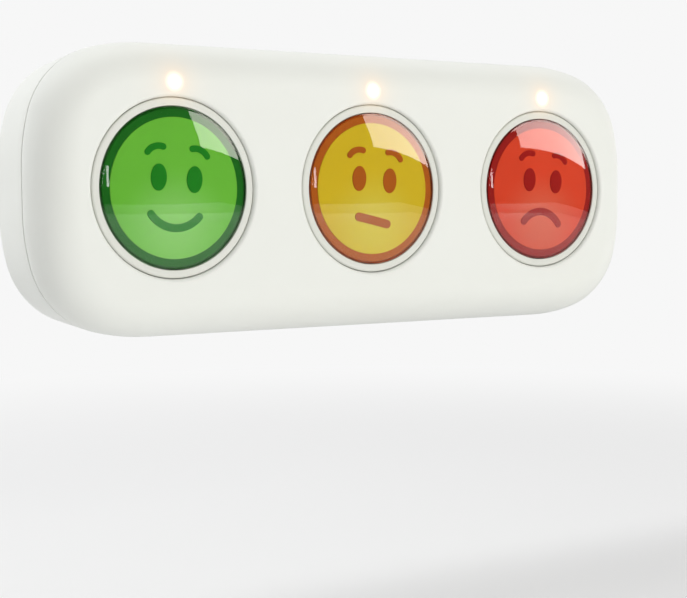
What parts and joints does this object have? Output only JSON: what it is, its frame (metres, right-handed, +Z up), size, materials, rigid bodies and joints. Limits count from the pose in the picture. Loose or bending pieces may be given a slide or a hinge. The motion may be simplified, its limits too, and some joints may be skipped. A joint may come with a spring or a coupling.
{
  "type": "feedback button terminal",
  "caption": "Wall-held feedback terminal: a long rounded white case with round domed push buttons marked with faces from happy to unhappy, each with an indicator light above.",
  "frame": {"origin": "centre of the wall plate's rear face, which lies on the wall", "axes": "+Z up, +Y into the wall, front towards -Y, +X along the case towards the unhappy button"},
  "size_m": [0.306, 0.054, 0.1182],
  "materials": {
    "case_white": "satin moulded ABS, slightly warm white",
    "collar_white": "semi-gloss translucent white plastic",
    "lens_green": "clear green acrylic, polished",
    "lens_amber": "clear amber acrylic, polished",
    "lens_red": "clear red acrylic, polished",
    "disc_green": "printed light green",
    "disc_amber": "printed yellow",
    "disc_red": "printed red",
    "marks_green": "printed dark green",
    "marks_amber": "printed brown",
    "marks_red": "printed dark red",
    "ring_green": "dark green moulding",
    "ring_amber": "orange brown moulding",
    "ring_red": "dark red moulding",
    "inner_plastic": "dark grey moulded nylon",
    "clear_acrylic": "clear acrylic light guide",
    "grey_rubber": "soft dark grey rubber",
    "spring_steel": "bright spring steel",
    "zinc_steel": "zinc plated steel",
    "coated_steel": "grey powder coat on steel",
    "board_green": "solder resist on glass epoxy",
    "led_lamp": "warm white lamp",
    "chip_black": "moulded epoxy",
    "shield_metal": "tinned shield can",
    "antenna_ceramic": "white ceramic block",
    "cell_jacket": "plain dark jacket"
  },
  "bodies": {
    "bracket": {"wall_plate": "coated_steel"},
    "case": {"battery_cell_1": "cell_jacket", "battery_cell_2": "cell_jacket", "battery_cell_3": "cell_jacket", "battery_contacts": "spring_steel", "board_chips": "chip_black", "board_screws": "zinc_steel", "case_screws": "zinc_steel", "circuit_board": "board_green", "collar_happy": "collar_white", "collar_neutral": "collar_white", "collar_unhappy": "collar_white", "front_shell": "case_white", "light_pipe_happy": "clear_acrylic", "light_pipe_neutral": "clear_acrylic", "light_pipe_unhappy": "clear_acrylic", "radio_antenna": "antenna_ceramic", "radio_module": "shield_metal", "rear_shell": "case_white", "return_spring_happy": "spring_steel", "return_spring_neutral": "spring_steel", "return_spring_unhappy": "spring_steel", "ring_nut_happy": "inner_plastic", "ring_nut_neutral": "inner_plastic", "ring_nut_unhappy": "inner_plastic", "seam_seal": "grey_rubber", "status_leds": "led_lamp", "switch_body_happy": "inner_plastic", "switch_body_neutral": "inner_plastic", "switch_body_unhappy": "inner_plastic", "wall_pads": "grey_rubber"},
    "battery_door": {"battery_door": "case_white"},
    "happy_button": {"dome_lens_happy": "lens_green", "face_disc_happy": "disc_green", "face_marks_happy": "marks_green", "plunger_happy": "ring_green", "stem_clip_happy": "spring_steel"},
    "happy_lever": {"switch_lever_happy": "spring_steel"},
    "neutral_button": {"dome_lens_neutral": "lens_amber", "face_disc_neutral": "disc_amber", "face_marks_neutral": "marks_amber", "plunger_neutral": "ring_amber", "stem_clip_neutral": "spring_steel"},
    "neutral_lever": {"switch_lever_neutral": "spring_steel"},
    "unhappy_button": {"dome_lens_unhappy": "lens_red", "face_disc_unhappy": "disc_red", "face_marks_unhappy": "marks_red", "plunger_unhappy": "ring_red", "stem_clip_unhappy": "spring_steel"},
    "unhappy_lever": {"switch_lever_unhappy": "spring_steel"}
  },
  "joints": [
    {"name": "case_lift", "type": "slide", "parent": "bracket", "child": "case", "axis": [0, 0, 1], "range_m": [0, 0.008]},
    {"name": "battery_door_pull", "type": "slide", "parent": "case", "child": "battery_door", "axis": [0, 1, 0], "range_m": [0, 0.012]},
    {"name": "happy_press", "type": "slide", "parent": "case", "child": "happy_button", "axis": [0, 1, 0], "range_m": [0, 0.0035], "stiffness_N_per_m": 800, "springref_m": -0.002, "deforming": ["return_spring_happy"]},
    {"name": "happy_lever_swing", "type": "hinge", "parent": "case", "child": "happy_lever", "pos_m": [-0.1095, -0.0288, 0.0006], "axis": [0, 0, 1], "range_deg": [0, 13.75]},
    {"name": "neutral_press", "type": "slide", "parent": "case", "child": "neutral_button", "axis": [0, 1, 0], "range_m": [0, 0.0035], "stiffness_N_per_m": 800, "springref_m": -0.002, "deforming": ["return_spring_neutral"]},
    {"name": "neutral_lever_swing", "type": "hinge", "parent": "case", "child": "neutral_lever", "pos_m": [-0.014, -0.0288, 0.0006], "axis": [0, 0, 1], "range_deg": [0, 13.75]},
    {"name": "unhappy_press", "type": "slide", "parent": "case", "child": "unhappy_button", "axis": [0, 1, 0], "range_m": [0, 0.0035], "stiffness_N_per_m": 800, "springref_m": -0.002, "deforming": ["return_spring_unhappy"]},
    {"name": "unhappy_lever_swing", "type": "hinge", "parent": "case", "child": "unhappy_lever", "pos_m": [0.0815, -0.0288, 0.0006], "axis": [0, 0, 1], "range_deg": [0, 13.75]}
  ],
  "couplings": [
    {"joint": "happy_lever_swing", "follows": "happy_press", "rad_per_m": 68.2},
    {"joint": "neutral_lever_swing", "follows": "neutral_press", "rad_per_m": 68.2},
    {"joint": "unhappy_lever_swing", "follows": "unhappy_press", "rad_per_m": 68.2}
  ]
}
